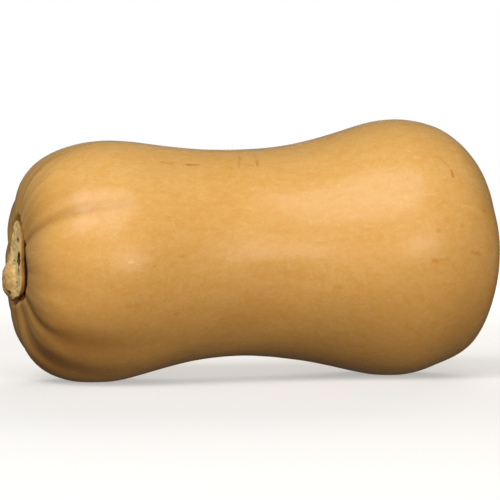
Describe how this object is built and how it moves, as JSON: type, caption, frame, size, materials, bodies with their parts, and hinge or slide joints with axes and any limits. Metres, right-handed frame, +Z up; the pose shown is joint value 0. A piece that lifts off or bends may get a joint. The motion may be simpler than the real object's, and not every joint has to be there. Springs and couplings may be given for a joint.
{
  "type": "butternut squash",
  "caption": "Whole butternut squash lying on its side: smooth tan skin, thick neck, slight waist, round bulb, and a corky stem stub at the furrowed end.",
  "frame": {"origin": "on the surface that the squash rests on, under the middle of its bounding box", "axes": "+X along the fruit from the stem end to the blossom end, +Y across it, +Z up"},
  "size_m": [0.2191, 0.1152, 0.1155],
  "materials": {
    "skin": "waxy tan rind, soft satin, with faint lengthwise mottling",
    "cork": "dry broken cork, matt, pale tan"
  },
  "bodies": {
    "root": {"squash": "skin", "stem_stub": "cork"}
  },
  "joints": []
}
